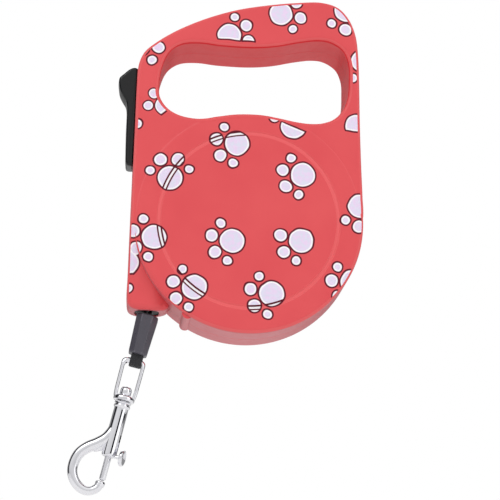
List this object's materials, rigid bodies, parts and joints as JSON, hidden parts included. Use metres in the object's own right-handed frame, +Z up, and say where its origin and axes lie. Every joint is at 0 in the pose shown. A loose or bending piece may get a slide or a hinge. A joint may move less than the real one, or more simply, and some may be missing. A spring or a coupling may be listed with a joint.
{
  "type": "retractable leash",
  "caption": "Retractable tape leash: paw-print shell with finger opening, spring-wound spool, thumb brake, and a swivel bolt snap at the end of the tape.",
  "frame": {"origin": "middle of the grip bar above the finger opening", "axes": "+X to the right as the printed front face is seen, +Y towards the rear face, +Z up from the drum to the grip bar"},
  "size_m": [0.1205, 0.029, 0.2167],
  "materials": {
    "coral_shell": "satin",
    "black_plastic": "matte",
    "button_plastic": "satin",
    "grey_plastic": "matte",
    "white_plastic": "matte",
    "steel": "satin",
    "spring_steel": "satin",
    "webbing": "matte",
    "sleeve_plastic": "matte",
    "chrome": "polished"
  },
  "bodies": {
    "housing": {"front_shell": "coral_shell", "rear_shell": "coral_shell", "case_screws": "steel", "outlet_guide": "black_plastic", "axle": "steel", "thrust_washer": "white_plastic", "spring_arbor": "grey_plastic", "pawl_pin": "steel"},
    "spool_group": {"spool": "black_plastic", "tape_roll": "webbing", "power_spring": "spring_steel", "spring_cover": "grey_plastic"},
    "brake_slider": {"brake_carrier": "grey_plastic", "button_spring": "spring_steel"},
    "button": {"brake_button": "button_plastic"},
    "pawl": {"brake_pawl": "steel", "pawl_spring": "spring_steel"},
    "leash_end": {"tape_run": "webbing", "end_sleeve": "sleeve_plastic", "webbing_loop": "webbing"},
    "swivel": {"swivel_eye": "chrome"},
    "hook": {"hook_body": "chrome", "swivel_rivet": "chrome", "bolt_spring": "spring_steel"},
    "bolt": {"hook_bolt": "chrome", "bolt_knob": "chrome"}
  },
  "joints": [
    {"name": "spool_spin", "type": "hinge", "parent": "housing", "child": "spool_group", "pos_m": [0, 0, -0.0875], "axis": [0, -1, 0], "range_deg": [0, 72], "stiffness_Nm_per_rad": 0.02, "springref_deg": -85.94},
    {"name": "leash_pull", "type": "slide", "parent": "housing", "child": "leash_end", "axis": [-0.2135, 0, -0.9769], "range_m": [0, 0.04]},
    {"name": "brake_press", "type": "slide", "parent": "housing", "child": "brake_slider", "axis": [1, 0, 0], "range_m": [0, 0.0025], "stiffness_N_per_m": 600, "springref_m": -0.003},
    {"name": "button_lock", "type": "slide", "parent": "brake_slider", "child": "button", "axis": [0, 0, -1], "range_m": [0, 0.004]},
    {"name": "pawl_turn", "type": "hinge", "parent": "housing", "child": "pawl", "pos_m": [-0.04175, 0, -0.0545], "axis": [0, -1, 0], "range_deg": [0, 9]},
    {"name": "snap_swing", "type": "hinge", "parent": "leash_end", "child": "swivel", "pos_m": [-0.04568, 0, -0.14803], "axis": [0.9769, 0, -0.2135], "range_deg": [-60, 60]},
    {"name": "snap_swivel", "type": "hinge", "parent": "swivel", "child": "hook", "pos_m": [-0.04952, 0, -0.16561], "axis": [0.2135, 0, 0.9769], "continuous": true},
    {"name": "bolt_slide", "type": "slide", "parent": "hook", "child": "bolt", "axis": [0.2135, 0, 0.9769], "range_m": [0, 0.008], "stiffness_N_per_m": 400, "springref_m": -0.003}
  ],
  "couplings": [
    {"joint": "leash_pull", "follows": "spool_spin", "m_per_rad": 0.0317},
    {"joint": "pawl_turn", "follows": "brake_press", "rad_per_m": 62.5}
  ]
}
